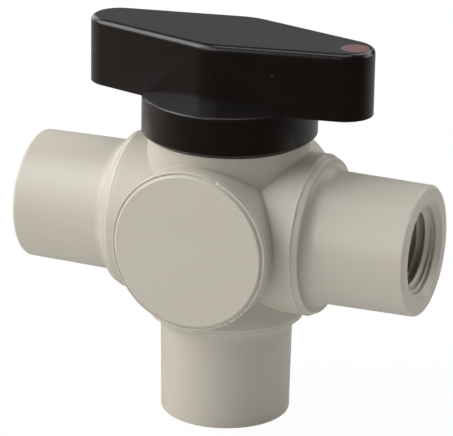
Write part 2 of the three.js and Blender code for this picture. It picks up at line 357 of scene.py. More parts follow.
def mark_bends(mesh: bpy.types.Mesh, start: float = math.radians(5), full: float = math.radians(17)) -> None:
    """Stores how sharply the surface bends at each point: "edge" where it bulges, "crease" where hollow.

    An edge's bend is the angle between its two faces' normals, and it bulges when the second face's middle
    lies behind the first face. A point takes the largest bend of its edges, scaled from start to full.

    Args:
        mesh: the mesh, which gains the two attributes.
        start: bend that counts as 0, in radians.
        full: bend that counts as 1.
    """
    normals, centres = np.empty((2, len(mesh.polygons) * 3))
    mesh.polygons.foreach_get("normal", normals)
    mesh.polygons.foreach_get("center", centres)
    normals, centres = normals.reshape(-1, 3), centres.reshape(-1, 3)
    sides = np.empty(len(mesh.polygons), int)
    mesh.polygons.foreach_get("loop_total", sides)
    edge_of = np.empty(len(mesh.loops), int)
    mesh.loops.foreach_get("edge_index", edge_of)
    ends = np.empty(len(mesh.edges) * 2, int)
    mesh.edges.foreach_get("vertices", ends)
    ends = ends.reshape(-1, 2)
    face_of = np.repeat(np.arange(len(mesh.polygons)), sides)[np.argsort(edge_of, kind="stable")]
    count = np.bincount(edge_of, minlength=len(mesh.edges))
    first = (np.cumsum(count) - count)[count == 2]
    one, other = face_of[first], face_of[first + 1]
    bend = np.arccos(np.clip((normals[one] * normals[other]).sum(axis=1), -1, 1))
    bulges = ((centres[other] - centres[one]) * normals[one]).sum(axis=1) < 0
    for name, kept in (("edge", bulges), ("crease", ~bulges)):
        value = np.zeros(len(mesh.vertices))
        for column in (0, 1):
            np.maximum.at(value, ends[count == 2, column], np.where(kept, bend, 0))
        mesh.attributes.new(name, "FLOAT", "POINT").data.foreach_set(
            "value", np.clip((value - start) / (full - start), 0, 1))


@dataclass(frozen=True)
class Dressing:
    """What a finished piece is tied to: a CAD body and a finish, with the name of the record's material slot
    kept beside them.
    """

    body: str
    slot: str
    material: bpy.types.Material

    def put_on(self, obj: bpy.types.Object, *nodes: str, sharp: float = 32.0) -> bpy.types.Object:
        """Shades a finished piece, gives it its finish and ties it to the frame.

        Args:
            obj: the piece.
            nodes: the CAD nodes that it stands for.
            sharp: an edge that turns by more than this many degrees stays crisp.

        Returns:
            The same piece.
        """
        mark_bends(obj.data)
        obj.data.shade_smooth()
        obj.data.set_sharp_from_angle(angle=math.radians(sharp))
        obj.data.materials.clear()
        obj.data.materials.append(self.material)
        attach(obj, self.body)
        if nodes:
            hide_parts(*nodes)
        LOG.info("%s rides on %s, %d faces", obj.name, self.body, len(obj.data.polygons))
        return obj


# ---- surface effects -----------------------------------------------------------------------------------


class Wires:
    """Adds nodes to a tree and joins them in one call."""

    def __init__(self, tree: bpy.types.NodeTree) -> None:
        """Keeps the tree, cleared of what it held."""
        self.tree = tree
        tree.nodes.clear()

    def add(self, kind: str, sockets: dict[str, object] | None = None, **settings: object) -> bpy.types.Node:
        """Adds one node.

        Args:
            kind: the node's type.
            sockets: for each input, by name, a value or the output that feeds it.
            settings: the node's own properties.

        Returns:
            The node.
        """
        node = self.tree.nodes.new(kind)
        for name, value in settings.items():
            setattr(node, name, value)
        for name, value in (sockets or {}).items():
            self.feed(node.inputs[name], value)
        return node

    def feed(self, socket: bpy.types.NodeSocket, value: object) -> None:
        """Joins an output to an input, or gives the input a plain value.

        Args:
            socket: the input.
            value: the output that feeds it, or its value.
        """
        if isinstance(value, bpy.types.NodeSocket):
            self.tree.links.new(value, socket)
        else:
            socket.default_value = value

    def maths(self, operation: str, first: object, second: object) -> bpy.types.NodeSocket:
        """Works out a sum, a product or a comparison.

        Args:
            operation: what is worked out, as the node calls it.
            first: a value or an output.
            second: the other one.

        Returns:
            The output.
        """
        node = self.add("ShaderNodeMath", operation=operation)
        for socket, value in zip(node.inputs, (first, second)):
            self.feed(socket, value)
        return node.outputs["Value"]

    def mix(self, share: object, first: object, second: object) -> bpy.types.NodeSocket:
        """Mixes two colours.

        Args:
            share: how much of the second there is, from 0 to 1.
            first: a colour or an output.
            second: the other one.

        Returns:
            The output.
        """
        node = self.add("ShaderNodeMix", data_type="RGBA")
        for i, value in zip(MIX_INPUTS, (share, first, second)):
            self.feed(node.inputs[i], value)
        return node.outputs[MIX_OUTPUT]

    def blend(self, share: object, first: bpy.types.Node, second: bpy.types.Node) -> bpy.types.Node:
        """Blends two shaders.

        Args:
            share: how much of the second there is, from 0 to 1.
            first: the node whose first output is the first shader.
            second: the same for the second.

        Returns:
            The node of the blend.
        """
        node = self.add("ShaderNodeMixShader", {"Fac": share})
        self.feed(node.inputs[1], first.outputs[0])
        self.feed(node.inputs[2], second.outputs[0])
        return node


class Effect(Enum):
    """The effects that several finishes share. Each value names its node group."""

    MOTTLE = "Mottle"
    GRAIN = "Moulded grain"
    SINKS = "Sink marks"
    WEAR_AND_HIGHLIGHT = "Edge wear and painted highlight"
    DUST_AND_SHADE = "Crease dust and painted shade"
    SPECKS = "Specks"

    def start(self, inputs: dict[str, float], output: str) -> tuple[Wires, bpy.types.Node, bpy.types.Node]:
        """Opens the group's tree with its sockets.

        Args:
            inputs: names of the inputs and what each starts at.
            output: name of the one output.

        Returns:
            The wires, the inputs' node and the output's node.
        """
        tree = bpy.data.node_groups.new(self.value, "ShaderNodeTree")
        for name, value in inputs.items():
            socket = tree.interface.new_socket(name, in_out="INPUT", socket_type="NodeSocketFloat")
            socket.default_value = value
        tree.interface.new_socket(output, in_out="OUTPUT", socket_type="NodeSocketFloat")
        wires = Wires(tree)
        return wires, wires.add("NodeGroupInput"), wires.add("NodeGroupOutput")

    def tree(self) -> bpy.types.NodeTree:
        """Gives the effect's node group, built the first time that it is asked for.

        Returns:
            The group's tree.
        """
        found = bpy.data.node_groups.get(self.value)
        if found is None:
            makers = {Effect.MOTTLE: self._mottle, Effect.GRAIN: self._grain, Effect.SINKS: self._sinks,
                      Effect.WEAR_AND_HIGHLIGHT: self._wear_and_highlight, Effect.DUST_AND_SHADE: self._dust_and_shade, Effect.SPECKS: self._specks}
            makers[self]()
            found = bpy.data.node_groups[self.value]
        return found

    def _mottle(self) -> None:
        """Cloudy mask: layered noise pulled apart about its middle by the contrast."""
        wires, given, out = self.start({"Scale": 60.0, "Contrast": 2.0}, "Mask")
        place = wires.add("ShaderNodeTexCoord")
        noise = wires.add("ShaderNodeTexNoise", {"Vector": place.outputs["Object"],
                                                 "Scale": given.outputs["Scale"], "Detail": 5.0})
        spread = wires.maths("MULTIPLY", wires.maths("SUBTRACT", noise.outputs["Fac"], 0.5),
                             given.outputs["Contrast"])
        share = wires.add("ShaderNodeClamp", {"Value": wires.maths("ADD", spread, 0.5)})
        wires.feed(out.inputs["Mask"], share.outputs["Result"])

    def _grain(self) -> None:
        """Fine skin of a moulding: half noise, half rounded cells a little larger."""
        wires, given, out = self.start({"Scale": 2500.0}, "Height")
        place = wires.add("ShaderNodeTexCoord")
        noise = wires.add("ShaderNodeTexNoise", {"Vector": place.outputs["Object"],
                                                 "Scale": given.outputs["Scale"], "Detail": 2.0})
        wider = wires.maths("MULTIPLY", given.outputs["Scale"], 0.6)
        cells = wires.add("ShaderNodeTexVoronoi", {"Vector": place.outputs["Object"], "Scale": wider},
                          feature="SMOOTH_F1")
        rounded_cells = wires.maths("MULTIPLY", cells.outputs["Distance"], 0.4)
        both = wires.maths("ADD", noise.outputs["Fac"], rounded_cells)
        wires.feed(out.inputs["Height"], both)

    def _sinks(self) -> None:
        """Slow waviness of a thick moulding that has shrunk: low noise, bent by a second one."""
        wires, given, out = self.start({"Scale": 90.0}, "Height")
        place = wires.add("ShaderNodeTexCoord")
        noise = wires.add("ShaderNodeTexNoise", {"Vector": place.outputs["Object"], "Detail": 1.0,
                                                 "Scale": given.outputs["Scale"], "Distortion": 0.6})
        wires.feed(out.inputs["Height"], noise.outputs["Fac"])

    def _bend(self, attribute: str) -> None:
        """Mask of a bend that the mesh stores, broken up by noise.

        Args:
            attribute: name under which the mesh stores the bend.
        """
        wires, given, out = self.start({"Scale": 500.0, "Evenness": 0.4}, "Mask")
        stored = wires.add("ShaderNodeAttribute", attribute_name=attribute)
        place = wires.add("ShaderNodeTexCoord")
        noise = wires.add("ShaderNodeTexNoise", {"Vector": place.outputs["Object"],
                                                 "Scale": given.outputs["Scale"], "Detail": 3.0})
        broken = wires.add("ShaderNodeMapRange", {"Value": noise.outputs["Fac"], "From Min": 0.35,
                                                  "From Max": 0.6, "To Min": given.outputs["Evenness"]})
        mask = wires.maths("MULTIPLY", stored.outputs["Fac"], broken.outputs["Result"])
        wires.feed(out.inputs["Mask"], mask)

    def _wear_and_highlight(self) -> None:
        """Mask of rubbed edges, which also carry a painted highlight."""
        self._bend("edge")

    def _dust_and_shade(self) -> None:
        """Mask of the dust and painted shade that darken creases."""
        self._bend("crease")

    def _specks(self) -> None:
        """Scattered specks: the near middle of a few cells, picked by the cell's own random colour."""
        wires, given, out = self.start({"Scale": 500.0, "Size": 0.12, "Share": 0.03}, "Mask")
        place = wires.add("ShaderNodeTexCoord")
        cells = wires.add("ShaderNodeTexVoronoi", {"Vector": place.outputs["Object"],
                                                   "Scale": given.outputs["Scale"]})
        near = wires.maths("LESS_THAN", cells.outputs["Distance"], given.outputs["Size"])
        apart = wires.add("ShaderNodeSeparateColor", {"Color": cells.outputs["Color"]})
        picked = wires.maths("LESS_THAN", apart.outputs["Red"], given.outputs["Share"])
        wires.feed(out.inputs["Mask"], wires.maths("MULTIPLY", near, picked))

    def place(self, wires: Wires, **values: float) -> bpy.types.NodeSocket:
        """Places the effect in a material.

        Args:
            wires: the material's wires.
            values: the effect's inputs, by name.

        Returns:
            The effect's output.
        """
        node = wires.add("ShaderNodeGroup", node_tree=self.tree())
        for name, value in values.items():
            node.inputs[name].default_value = value
        return node.outputs[0]


Colour = tuple[float, float, float]


def paint(colour: Colour) -> tuple[float, float, float, float]:
    """A colour with its fourth value, as sockets take it."""
    return (*colour, 1.0)


@dataclass(frozen=True)
class Moulding:
    """Finish of a moulded piece: two shades of one colour, a grained skin, rubbed edges that also carry a
    painted highlight, and creases darkened by dust and painted shade.

    Colours are linear. Depths are in mm, and effects' scales are per metre.
    """

    name: str
    colour: Colour
    shade: Colour
    rubbed_and_highlight: Colour
    speck: Colour
    roughness: float
    roughness_spread: float = 0.08
    specular: float = 0.5
    mottle_scale: float = 70.0
    mottle_contrast: float = 2.2
    fine_ratio: float = 9.0
    fine_contrast: float = 1.6
    grain_scale: float = 2600.0
    grain_depth: float = 0.004
    sink_scale: float = 90.0
    sink_depth: float = 0.02
    wear_and_highlight: float = 0.5
    wear_roughness: float = 0.5
    dust_and_shade: float = 0.25
    dust_and_shade_evenness: float = 0.7
    speck_scale: float = 420.0
    speck_share: float = 0.02
    speck_strength: float = 0.5
    subsurface: float = 0.0
    subsurface_reach: float = 1.2

    def make(self) -> bpy.types.Material:
        """Builds the material.

        Returns:
            The material.
        """
        material = bpy.data.materials.new(self.name)
        material.use_nodes = True
        wires = Wires(material.node_tree)
        clouds = Effect.MOTTLE.place(wires, Scale=self.mottle_scale, Contrast=self.mottle_contrast)
        fine = Effect.MOTTLE.place(wires, Scale=self.mottle_scale * self.fine_ratio,
                                   Contrast=self.fine_contrast)
        specks = Effect.SPECKS.place(wires, Scale=self.speck_scale, Share=self.speck_share)
        edges = Effect.WEAR_AND_HIGHLIGHT.place(wires)
        creases = Effect.DUST_AND_SHADE.place(wires, Evenness=self.dust_and_shade_evenness)
        grain = Effect.GRAIN.place(wires, Scale=self.grain_scale)
        sinks = Effect.SINKS.place(wires, Scale=self.sink_scale)
        plain = wires.mix(clouds, paint(self.shade), paint(self.colour))
        # Creases take the speck colour by the dust share: dust, and painted shade that darkens the valleys
        # and seams.
        dusty_and_shaded = wires.mix(wires.maths("MULTIPLY", creases, self.dust_and_shade), plain, paint(self.speck))
        # Bulging edges take the lighter rubbed colour by the wear share: wear, and a painted highlight along
        # the edges and lips.
        worn_and_highlit = wires.mix(wires.maths("MULTIPLY", edges, self.wear_and_highlight), dusty_and_shaded, paint(self.rubbed_and_highlight))
        spotted = wires.mix(wires.maths("MULTIPLY", specks, self.speck_strength), worn_and_highlit, paint(self.speck))
        uneven = wires.maths("MULTIPLY", wires.maths("SUBTRACT", fine, 0.5), self.roughness_spread)
        rough = wires.maths("ADD", wires.maths("ADD", uneven, self.roughness),
                            wires.maths("MULTIPLY", edges, self.wear_roughness * self.roughness_spread))
        slow = wires.add("ShaderNodeBump", {"Height": sinks, "Distance": self.sink_depth * MM})
        skin = wires.add("ShaderNodeBump", {"Height": grain, "Distance": self.grain_depth * MM,
                                            "Normal": slow.outputs["Normal"]})
        shader = wires.add("ShaderNodeBsdfPrincipled", {
            "Base Color": spotted, "Roughness": rough, "Normal": skin.outputs["Normal"],
            "Specular IOR Level": self.specular,
            "Subsurface Weight": self.subsurface, "Subsurface Scale": self.subsurface_reach * MM,
        })
        wires.add("ShaderNodeOutputMaterial", {"Surface": shader.outputs["BSDF"]})
        return material


# The grey's dust share of 0.5 darkens its creases and valleys with painted shade as well as dust.
GREY = Moulding(
    "grey_polypropylene", colour=(0.468, 0.434, 0.373), shade=(0.460, 0.425, 0.364),
    rubbed_and_highlight=(0.60, 0.57, 0.50), speck=(0.22, 0.19, 0.15), roughness=0.37, roughness_spread=0.02, specular=0.42,
    grain_depth=0.0015, sink_depth=0.012, wear_and_highlight=0.4, dust_and_shade=0.5, speck_share=0.004, speck_strength=0.4)


class Finish(Enum):
    """The seven finishes: one for each material slot of the record, and a cleaner one for welded parts."""

    BODY = ("body_plastic", GREY)
    # The welded parts' larger wear share paints a stronger highlight along their edges and lips.
    WELDED = ("body_plastic", replace(GREY, name="clean_grey_polypropylene", wear_and_highlight=0.7, dust_and_shade=0.1))
    # The handle's rubbed colour, lighter than its black, paints highlight lines along its edges.
    HANDLE = ("handle_plastic", Moulding(
        "black_moulding", colour=(0.0062, 0.0040, 0.0030), shade=(0.0048, 0.0030, 0.0023),
        rubbed_and_highlight=(0.02, 0.017, 0.017), speck=(0.06, 0.05, 0.045), roughness=0.23, roughness_spread=0.05,
        specular=0.45, sink_scale=70.0, sink_depth=0.05, wear_and_highlight=0.5, dust_and_shade=0.0, speck_share=0.03,
        speck_strength=0.4))
    DOT = ("dot_plastic", Moulding(
        "dull_red_dot", colour=(0.165, 0.08, 0.085), shade=(0.15, 0.072, 0.077),
        rubbed_and_highlight=(0.15, 0.08, 0.08), speck=(0.06, 0.03, 0.03), roughness=0.35, dust_and_shade=0.0))
    BALL = ("ball_plastic", Moulding(
        "polished_polypropylene", colour=(0.62, 0.59, 0.52), shade=(0.59, 0.56, 0.49),
        rubbed_and_highlight=(0.66, 0.64, 0.58), speck=(0.3, 0.27, 0.22), roughness=0.2, sink_depth=0.0))
    SEAT = ("seat_plastic", Moulding(
        "white_seat", colour=(0.86, 0.85, 0.81), shade=(0.82, 0.81, 0.77),
        rubbed_and_highlight=(0.9, 0.89, 0.86), speck=(0.5, 0.48, 0.44), roughness=0.4, subsurface=0.1))
    SEAL = ("seal_rubber", Moulding(
        "black_rubber", colour=(0.012, 0.012, 0.012), shade=(0.008, 0.008, 0.008),
        rubbed_and_highlight=(0.04, 0.04, 0.04), speck=(0.05, 0.05, 0.05), roughness=0.65, grain_depth=0.008))

    def __init__(self, slot: str, moulding: Moulding) -> None:
        """Names the slot and the finish apart."""
        self.slot = slot
        self.moulding = moulding

    def on(self, body: str) -> Dressing:
        """Gives the dressing of this finish for a body, with its material made once."""
        material = bpy.data.materials.get(self.moulding.name) or self.moulding.make()
        return Dressing(body, self.slot, material)


# ---- housing -------------------------------------------------------------------------------------------


@dataclass
class ValveBody:
    """Six arms melted into each other, the crossing bores, and the neck for the stem with its stop lug."""

    layout: Layout
    arm_radius: float = 12.45
    edge: float = 0.1
    valley: float = 0.2
    chamber: float = 8.9
    side_rows: int = 24
    crowding: float = 1.7
    edge_rows: int = 4
    ceiling_rows: int = 7
    lead: float = 0.15
    bevel: float = 0.3
    top_reach: float = 14.1
    neck_radius: float = 9.6
    lug_radius: float = 11.2
    lug_half_angle: float = math.radians(12)
    lug_slope: float = 0.02
    stem_bore: float = 4.0
    recess: Corner = field(default_factory=lambda: Corner(5.2, 11.4))

    def blended_distance(self, points: np.ndarray) -> np.ndarray:
        """Distance to the three crossing cylinders, melted together where two come within the valley's width.

        Two distances a and b give min(a, b) - h^2 * width / 4, with h = 1 - |a - b| / width, at least 0.

        Args:
            points: the points, with x, y and z last.

        Returns:
            One distance per point, negative inside.
        """
        x, y, z = points[..., 0], points[..., 1], points[..., 2]
        melted = np.hypot(y, z)
        for other in (np.hypot(x, z), np.hypot(x, y)):
            closeness = np.clip(1 - np.abs(melted - other) / self.valley, 0, 1)
            melted = np.minimum(melted, other) - closeness ** 2 * self.valley / 4
        return melted - self.arm_radius

    def melted_shift(self, points: np.ndarray) -> np.ndarray:
        """How far points on the bare cylinders move out to the melted surface, by three Newton steps.

        Args:
            points: the points on the cylinders.

        Returns:
            The move of each point.
        """
        here = points.copy()
        small = 1e-4
        for _ in range(3):
            slope = np.stack([self.blended_distance(here + step) - self.blended_distance(here - step)
                              for step in np.eye(3) * small], axis=-1) / (2 * small)
            away = self.blended_distance(here)[..., None]
            here = here - away * slope / (slope ** 2).sum(axis=-1, keepdims=True)
        return here - points

    def side(self, way: Way, reach: float) -> tuple[np.ndarray, np.ndarray, np.ndarray]:
        """Outside of an arm, from the valley between it and its neighbours out to the rounded end.

        The valley stands as high as the arm's radius times the larger of |cos| and |sin| of the angle.

        Args:
            way: the arm.
            reach: its length.

        Returns:
            Radii, heights, and the shift of each point onto the melted surface.
        """
        at = angles()
        valley = self.arm_radius * np.maximum(np.abs(np.cos(at)), np.abs(np.sin(at)))
        share = np.linspace(0, 1, self.side_rows)[:, None] ** self.crowding
        heights = valley + (reach - self.edge - valley) * share
        arc = np.linspace(0, math.pi / 2, self.edge_rows + 1)[1:, None]
        rim = reach - self.edge * (1 - np.sin(arc))
        heights = np.vstack([heights, np.broadcast_to(rim, (self.edge_rows, len(at)))])
        radii = np.full_like(heights, self.arm_radius)
        shift = self.melted_shift(way.lay(revolve(radii, heights, at)))
        radii[-self.edge_rows:] -= self.edge * (1 - np.cos(arc))
        return radii, heights, shift

    def inner_valley(self) -> np.ndarray:
        """Height of the valley between the crossing bores, for each column."""
        at = angles()
        return self.chamber * np.maximum(np.abs(np.cos(at)), np.abs(np.sin(at)))

    def open_arm(self, way: Way) -> np.ndarray:
        """Arm with a welded end: outside, end face, and the bore back to the chamber.

        Args:
            way: the arm.

        Returns:
            Grid of points.
        """
        reach = self.layout.reach(way)
        radii, heights, shift = self.side(way, reach)
        rows = [(self.chamber + self.lead, reach), (self.chamber, reach - self.lead)]
        inside = self.inner_valley()
        bore = inside + (reach - self.lead - inside) * np.array([[0.6], [0.25], [0.0]])
        flat = np.array(rows)[:, :, None] * np.ones(COLUMNS)
        radii = np.vstack([radii, flat[:, 0], np.full_like(bore, self.chamber)])
        heights = np.vstack([heights, flat[:, 1], bore])
        points = way.lay(revolve(radii, heights, angles()))
        points[:len(shift)] += shift
        return points

    def neck(self) -> np.ndarray:
        """Top arm: shoulder, neck with the stop lug, stem bore, recess, and the ceiling of the chamber.

        The ceiling is as high as the higher of the two level bores: sqrt(chamber^2 - min(x^2, y^2)).

        Returns:
            Grid of points.
        """
        at = angles()
        radii, heights, shift = self.side(Way.TOP, self.top_reach)
        top, bevel = self.layout.neck_top, self.bevel
        away = np.abs(np.angle(np.exp(1j * (at - math.pi / 2))))
        half, slope = self.lug_half_angle, self.lug_slope
        lug = 1 - smooth_step(away, half - slope, half + slope)
        swell = 1 + (self.lug_radius / self.neck_radius - 1) * lug
        around = [(self.neck_radius + bevel, self.top_reach), (self.neck_radius, self.top_reach + bevel),
                  (self.neck_radius, top - bevel), (self.neck_radius - bevel, top)]
        within = [(self.stem_bore + bevel, top), (self.stem_bore, top - bevel),
                  (self.stem_bore, self.recess.height), (self.recess.radius, self.recess.height)]
        outer = np.array(around)[:, :, None] * np.ones(COLUMNS)
        inner = np.array(within)[:, :, None] * np.ones(COLUMNS)
        share = np.linspace(0, 1, self.ceiling_rows)[:, None]
        reach = self.recess.radius + (self.chamber - self.recess.radius) * share
        across = np.minimum((reach * np.cos(at)) ** 2, (reach * np.sin(at)) ** 2)
        ceiling = np.sqrt(self.chamber ** 2 - across)
        radii = np.vstack([radii, outer[:, 0] * swell, inner[:, 0], reach * np.ones(COLUMNS)])
        heights = np.vstack([heights, outer[:, 1], inner[:, 1], ceiling])
        points = revolve(radii, heights, at)
        points[:len(shift)] += shift
        return points

    def build(self) -> list[bpy.types.Object]:
        """Makes the body and dresses it.

        Returns:
            The one piece.
        """
        arms = [self.open_arm(way) for way in Way if way is not Way.TOP]
        obj = build("moulded_body", self.layout, *arms, self.neck())
        return [Finish.BODY.on("housing").put_on(obj, "valve_body")]


@dataclass
class Spigot:
    """Inner end that sockets and plugs share: sleeve in the chamber bore, seat pocket and seal groove."""

    sleeve: float = 8.6
    lip: float = 7.8
    lip_start: float = 8.4
    lip_length: float = 0.8
    pocket: float = 6.9
    pocket_floor: float = 9.7
    bore: float = 4.0
    groove_radius: float = 5.5
    groove_half: float = 0.8
    groove_depth: float = 1.45

    def outside(self, weld_face: float) -> list[Corner]:
        """Corners from the pocket's floor, round the lip and along the sleeve to the weld face.

        Args:
            weld_face: height at which the sleeve meets the arm's end.

        Returns:
            The corners in order.
        """
        return [Corner(self.pocket, self.pocket_floor), Corner(self.pocket, self.lip_start, 0.15),
                Corner(self.lip, self.lip_start, 0.15),
                Corner(self.sleeve, self.lip_start + self.lip_length, 0.2),
                Corner(self.sleeve, weld_face)]

    def groove(self) -> list[Corner]:
        """Corners of the seal groove in the pocket's floor, from the bore outwards.

        Returns:
            The corners in order.
        """
        inner, outer = self.groove_radius - self.groove_half, self.groove_radius + self.groove_half
        bottom = self.pocket_floor + self.groove_depth
        return [Corner(inner, self.pocket_floor, 0.1), Corner(inner, bottom, 0.1),
                Corner(outer, bottom, 0.1), Corner(outer, self.pocket_floor, 0.1)]


@dataclass
class EndSocket:
    """Socket welded on an arm: flange, hollow fillet, slightly drawn tube, and a pipe thread inside."""

    layout: Layout
    way: Way
    spigot: Spigot = field(default_factory=Spigot)
    weld_gap: float = 0.2
    flange_start: float = 12.33
    flange_radius: float = 11.96
    flange_thickness: float = 1.15
    flange_round: float = 0.3
    flange_inset: float = 0.45
    flange_draft: float = 0.02
    fillet_length: float = 2.3
    neck_radius: float = 10.2
    mouth_outer: float = 10.0
    mouth_inner: float = 7.75
    mouth_depth: float = 1.4
    mouth_round: float = 0.5
    countersink_round: float = 0.12
    countersink_start: tuple[float, float] = (0.3, 0.21)
    thread_start: float = 0.24
    thread_margin: float = 1.6
    end_taper: float = 1.2
    thread_lead: float = 0.75
    relief_radius: float = 6.75
    relief_end: float = 1.2
    relief_run: float = 0.45
    pitch: float = 1.337
    minor: float = 5.72
    major: float = 6.58
    turns: int = 7
    rows_per_turn: int = 18

    def outside(self, face: float) -> np.ndarray:
        """Profile from the seat pocket round the flange and along the tube to the countersink's edge.

        The fillet from flange to tube is a quarter of an ellipse.

        Args:
            face: height of the port's face.

        Returns:
            Rows of (radius, height).
        """
        weld_face = self.layout.reach(self.way) + self.weld_gap
        flange_end = weld_face + self.flange_thickness
        start = rounded(self.spigot.outside(weld_face) + [
            Corner(self.flange_start, weld_face, 0.05),
            Corner(self.flange_radius, flange_end, self.flange_round),
            Corner(self.flange_radius - self.flange_inset, flange_end + self.flange_draft)])
        at = np.linspace(0, math.pi / 2, 15)[1:]
        rise = self.flange_radius - self.flange_inset - self.neck_radius
        fillet = np.column_stack([self.neck_radius + rise * (1 - np.sin(at)),
                                  flange_end + self.flange_draft + self.fillet_length * (1 - np.cos(at))])
        tube = rounded([
            Corner(self.neck_radius - 0.01, flange_end + self.fillet_length + 0.1),
            Corner(self.mouth_outer, face, self.mouth_round),
            Corner(self.mouth_inner, face, self.countersink_round),
            Corner(self.mouth_inner - self.countersink_start[0], face - self.countersink_start[1])], steps=7)
        return np.vstack([start, fillet, tube])

    def thread(self, face: float) -> tuple[np.ndarray, np.ndarray]:
        """Countersink and thread, from the mouth inwards.

        The thread swings as a cosine between its two radii with the depth in pitches plus the share of the
        turn, which makes a right-hand helix. The radius is the largest of the thread's, the cone's and that
        of the plain relief before the first turn.

        Args:
            face: height of the port's face.

        Returns:
            Radii and heights.
        """
        at = angles()
        start, end = face - self.thread_start, face - self.thread_margin - self.turns * self.pitch
        count = round((start - end) / self.pitch * self.rows_per_turn)
        heights = np.linspace(start, end, count)[:, None] * np.ones(len(at))
        phase = (face - heights - self.thread_lead) / self.pitch + at / TURN
        depth = (self.major - self.minor) * np.clip((heights - end) / self.pitch, 0, 1)
        groove = self.minor + depth * (0.5 - 0.5 * np.cos(TURN * phase))
        cone = self.mouth_inner - (face - heights) * (self.mouth_inner - self.minor) / self.mouth_depth
        sunk = np.clip((face - heights - self.relief_end) / self.relief_run, 0, 1)
        relief = self.relief_radius - sunk * (self.relief_radius - self.minor)
        return np.maximum(np.maximum(groove, cone), relief), heights

    def build(self) -> list[bpy.types.Object]:
        """Makes the socket and dresses it.

        Returns:
            The one piece.
        """
        face = self.layout.face(self.way)
        outside = self.outside(face)
        radii, heights = self.thread(face)
        inside = rounded([
            Corner(self.minor, heights[-1, 0]),
            Corner(self.spigot.bore, heights[-1, 0] - self.end_taper, 0.3),
            Corner(self.spigot.bore, self.spigot.pocket_floor, 0.1), *self.spigot.groove(),
            Corner(self.spigot.pocket, self.spigot.pocket_floor)])[1:-1]
        ones = np.ones(COLUMNS)
        radii = np.vstack([outside[:, :1] * ones, radii, inside[:, :1] * ones])
        heights = np.vstack([outside[:, 1:] * ones, heights, inside[:, 1:] * ones])
        points = self.way.lay(revolve(radii, heights, angles()))
        obj = build(f"threaded_socket_{self.way.label}", self.layout, points, ring=True)
        return [Finish.WELDED.on("housing").put_on(obj, f"end_socket_{self.way.label}")]


@dataclass
class ClosingPlug:
    """Plug welded into an arm that has no port: sleeve, rim with a melted lip, and a raised disc."""

    layout: Layout
    way: Way
    seed: int
    spots: tuple[tuple[float, float], ...]
    spigot: Spigot = field(default_factory=Spigot)
    weld_gap: float = 0.2
    rim_radius: float = 12.45
    rim_top: float = 15.62
    lip_width: float = 0.22
    groove_floor: float = 15.51
    disc_radius: float = 11.7
    disc_slope: float = 0.42
    disc_hold: float = 1.0
    lip_blend: tuple[float, float] = (0.08, 0.4)
    lip_sway: tuple[float, float] = (0.01, 0.015)
    lip_tear: tuple[float, float] = (0.04, 0.16)
    lip_drop: float = 0.02
    tear_shift: int = 7
    pocket_end: float = 12.6

    def profile(self) -> tuple[np.ndarray, np.ndarray]:
        """Section from the blind pocket's middle to the middle of the disc.

        Returns:
            Rows of (radius, height), and how much of the melted lip's unevenness each row takes.
        """
        weld_face = self.layout.side_reach + self.weld_gap
        foot = self.disc_radius + self.disc_slope
        rows = rounded([
            Corner(0, self.pocket_end), Corner(self.spigot.bore, self.pocket_end, 0.3),
            Corner(self.spigot.bore, self.spigot.pocket_floor, 0.1), *self.spigot.groove(),
            *self.spigot.outside(weld_face), Corner(self.rim_radius, weld_face),
            Corner(self.rim_radius, self.rim_top, 0.1),
            Corner(self.rim_radius - self.lip_width, self.rim_top, 0.08),
            Corner(foot + 0.03, self.groove_floor, 0.02), Corner(foot - 0.04, self.groove_floor, 0.02),
            Corner(self.disc_radius, self.layout.plug_face, 0.22),
            Corner(self.disc_radius - self.disc_hold, self.layout.plug_face),
            Corner(0, self.layout.plug_face)], steps=7)
        outwards, upwards = self.lip_blend
        on_lip = smooth_step(rows[:, :1], foot, foot + outwards)
        return rows, on_lip * smooth_step(rows[:, 1:], weld_face, weld_face + upwards)

    def build(self) -> list[bpy.types.Object]:
        """Makes the plug and dresses it.

        Returns:
            The one piece.
        """
        at = angles(2 * COLUMNS)
        profile, uneven = self.profile()
        torn = sum(window(at, centre, width) for centre, width in self.spots)
        rough = ripple(at, self.seed, range(30, 95))
        sway = ripple(at, self.seed + 1, range(2, 13))
        outwards = self.lip_sway[0] * sway + self.lip_tear[0] * torn * rough - self.lip_drop
        shifted = np.roll(rough, self.tear_shift)
        upwards = self.lip_sway[1] * sway + torn * (self.lip_tear[1] * shifted - self.lip_drop)
        radii = profile[:, :1] + uneven * outwards
        heights = profile[:, 1:] + uneven * upwards
        points = self.way.lay(revolve(radii, heights, at))
        obj = build(f"plug_{self.way.label}", self.layout, points)
        return [Finish.WELDED.on("housing").put_on(obj, f"closing_plug_{self.way.label}")]


@dataclass
class WeldSeam:
    """Melted ring that joins an arm to the socket or plug on it, with a thin bead squeezed out of it."""

    layout: Layout
    way: Way
    seed: int
    spread: float
    crest: float = 12.46
    inner: float = 8.95
    root: float = 12.3
    gap: float = 0.2
    bite: float = 0.02
    sway: tuple[float, float] = (0.006, 0.012)

    def build(self) -> list[bpy.types.Object]:
        """Makes the seam and dresses it.

        The bead is half an ellipse that spreads over both edges. It sways by a hundredth of a millimetre.

        Returns:
            The one piece.
        """
        low = self.layout.reach(self.way) - self.bite
        high = low + self.gap + 2 * self.bite
        middle = (low + high) / 2
        along = np.sin(np.linspace(-math.pi / 2, math.pi / 2, 13))
        bead = np.column_stack([self.root + (self.crest - self.root) * np.sqrt(1 - along ** 2),
                                middle + self.spread * along])
        section = np.vstack([[self.inner, low], [self.root - 0.1, low], bead, [self.root - 0.1, high],
                             [self.inner, high]])
        at = angles()
        outermost = (section[:, :1] > self.root + 0.01).astype(float)
        radii = section[:, :1] + outermost * self.sway[0] * ripple(at, self.seed, range(3, 40))
        heights = section[:, 1:] + outermost * self.sway[1] * ripple(at, self.seed + 1, range(2, 24))
        points = self.way.lay(revolve(radii, heights, at))
        obj = build(f"weld_seam_{self.way.label}", self.layout, points, ring=True)
        return [Finish.WELDED.on("housing").put_on(obj)]


